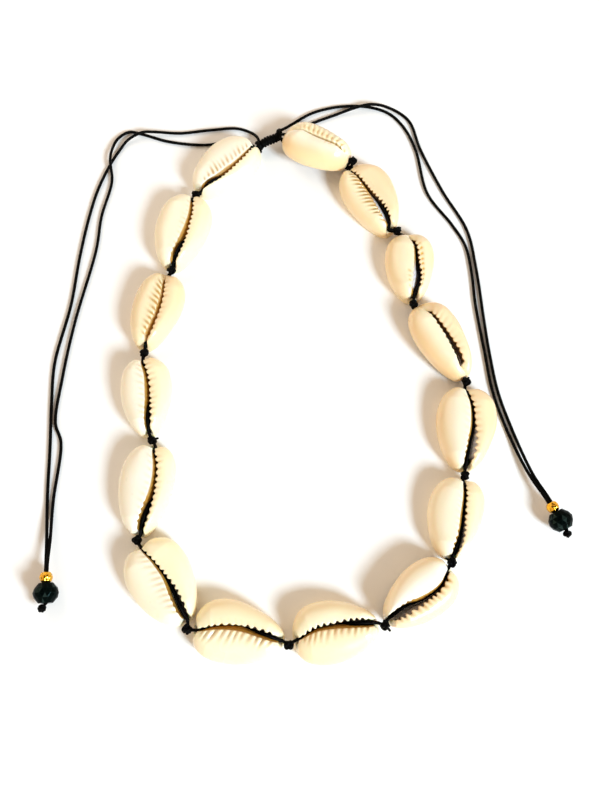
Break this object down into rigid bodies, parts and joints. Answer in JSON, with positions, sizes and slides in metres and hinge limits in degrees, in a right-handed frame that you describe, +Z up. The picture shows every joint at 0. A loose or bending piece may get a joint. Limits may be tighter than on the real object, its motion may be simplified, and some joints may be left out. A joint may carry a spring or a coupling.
{
  "type": "cowrie shell necklace",
  "caption": "Necklace of cut cowrie shells on a knotted black cord, closed by a sliding knot, with beaded tails, laid flat.",
  "frame": {"origin": "centre of the loop of shells and knots in plan, on the surface that the ground backs lie on", "axes": "+X to the right as worn and pictured, +Y from the front of the necklace toward the sliding knot, +Z up from the surface, slits facing up"},
  "size_m": [0.1279, 0.1507, 0.0096],
  "materials": {
    "shell": "glossy ivory shell with peach margins and brown between the teeth",
    "cord": "waxed black cord",
    "gold_bead": "polished gold",
    "black_bead": "glossy faceted black glass"
  },
  "bodies": {
    "root": {"cowrie_01": "shell", "cowrie_02": "shell", "cowrie_03": "shell", "cowrie_04": "shell", "cowrie_05": "shell", "cowrie_06": "shell", "cowrie_07": "shell", "cowrie_08": "shell", "cowrie_09": "shell", "cowrie_10": "shell", "cowrie_11": "shell", "cowrie_12": "shell", "cowrie_13": "shell", "cowrie_14": "shell", "cowrie_15": "shell", "knot_01": "cord", "knot_02": "cord", "knot_03": "cord", "knot_04": "cord", "knot_05": "cord", "knot_06": "cord", "knot_07": "cord", "knot_08": "cord", "knot_09": "cord", "knot_10": "cord", "knot_11": "cord", "knot_12": "cord", "knot_13": "cord", "knot_14": "cord", "slide_knot": "cord", "thread_front": "cord", "thread_back": "cord", "left_tail_a": "cord", "left_tail_b": "cord", "right_tail_a": "cord", "right_tail_b": "cord", "end_knot_left": "cord", "end_knot_right": "cord", "gold_bead_left": "gold_bead", "gold_bead_right": "gold_bead", "black_bead_left": "black_bead", "black_bead_right": "black_bead"}
  },
  "joints": []
}
